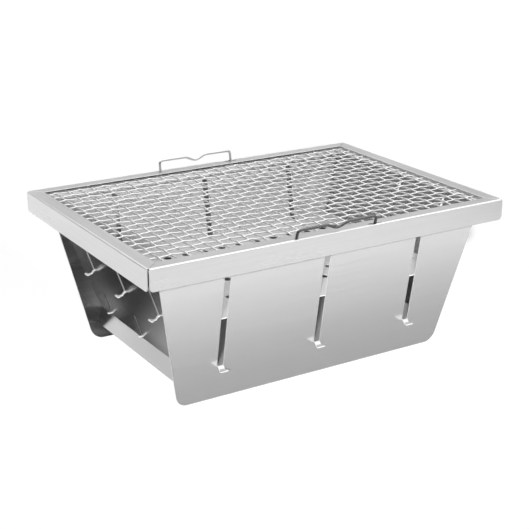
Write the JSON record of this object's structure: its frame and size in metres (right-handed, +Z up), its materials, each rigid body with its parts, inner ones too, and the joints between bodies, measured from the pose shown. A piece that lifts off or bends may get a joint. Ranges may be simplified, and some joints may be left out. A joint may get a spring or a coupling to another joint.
{
  "type": "charcoal grill",
  "caption": "Knock-down stainless sheet charcoal grill: leaning panels hooked onto slotted plates, a lift-off woven net frame and pull-up wire bails.",
  "frame": {"origin": "middle of the footprint, on the ground", "axes": "+X along the long side, to the right seen from the front; +Y to the back; +Z up; the front panel faces -Y"},
  "size_m": [0.42, 0.294, 0.1825],
  "materials": {
    "rim_steel": "fine brushed along each rail",
    "retainer_steel": "plain mill finish",
    "net_wire": "bright drawn wire",
    "bail_wire": "polished wire",
    "panel_steel": "fine horizontal brushing",
    "plate_steel": "fine brushed"
  },
  "bodies": {
    "firebox": {"front_panel": "panel_steel", "back_panel": "panel_steel", "left_panel": "panel_steel", "right_panel": "panel_steel"},
    "net_frame": {"rim_front": "rim_steel", "rim_back": "rim_steel", "rim_left": "rim_steel", "rim_right": "rim_steel", "net_retainer_front": "retainer_steel", "net_retainer_back": "retainer_steel", "net_retainer_left": "retainer_steel", "net_retainer_right": "retainer_steel", "grill_net": "net_wire"},
    "front_bail": {"front_bail": "bail_wire"},
    "back_bail": {"back_bail": "bail_wire"},
    "charcoal_plate": {"charcoal_plate": "plate_steel"},
    "ash_plate": {"ash_plate": "plate_steel"}
  },
  "joints": [
    {"name": "net_frame_lift", "type": "slide", "parent": "firebox", "child": "net_frame", "axis": [0, 0, 1], "range_m": [0, 0.1]},
    {"name": "front_bail_pull", "type": "slide", "parent": "net_frame", "child": "front_bail", "axis": [0, -0.2588, 0.9659], "range_m": [-0.0022, 0.0135]},
    {"name": "back_bail_pull", "type": "slide", "parent": "net_frame", "child": "back_bail", "axis": [0, 0.1045, 0.9945], "range_m": [-0.0055, 0.0105]},
    {"name": "charcoal_plate_lift", "type": "slide", "parent": "firebox", "child": "charcoal_plate", "axis": [0, 0, 1], "range_m": [0, 0.018]},
    {"name": "ash_plate_lift", "type": "slide", "parent": "firebox", "child": "ash_plate", "axis": [0, 0, 1], "range_m": [0, 0.035]}
  ]
}
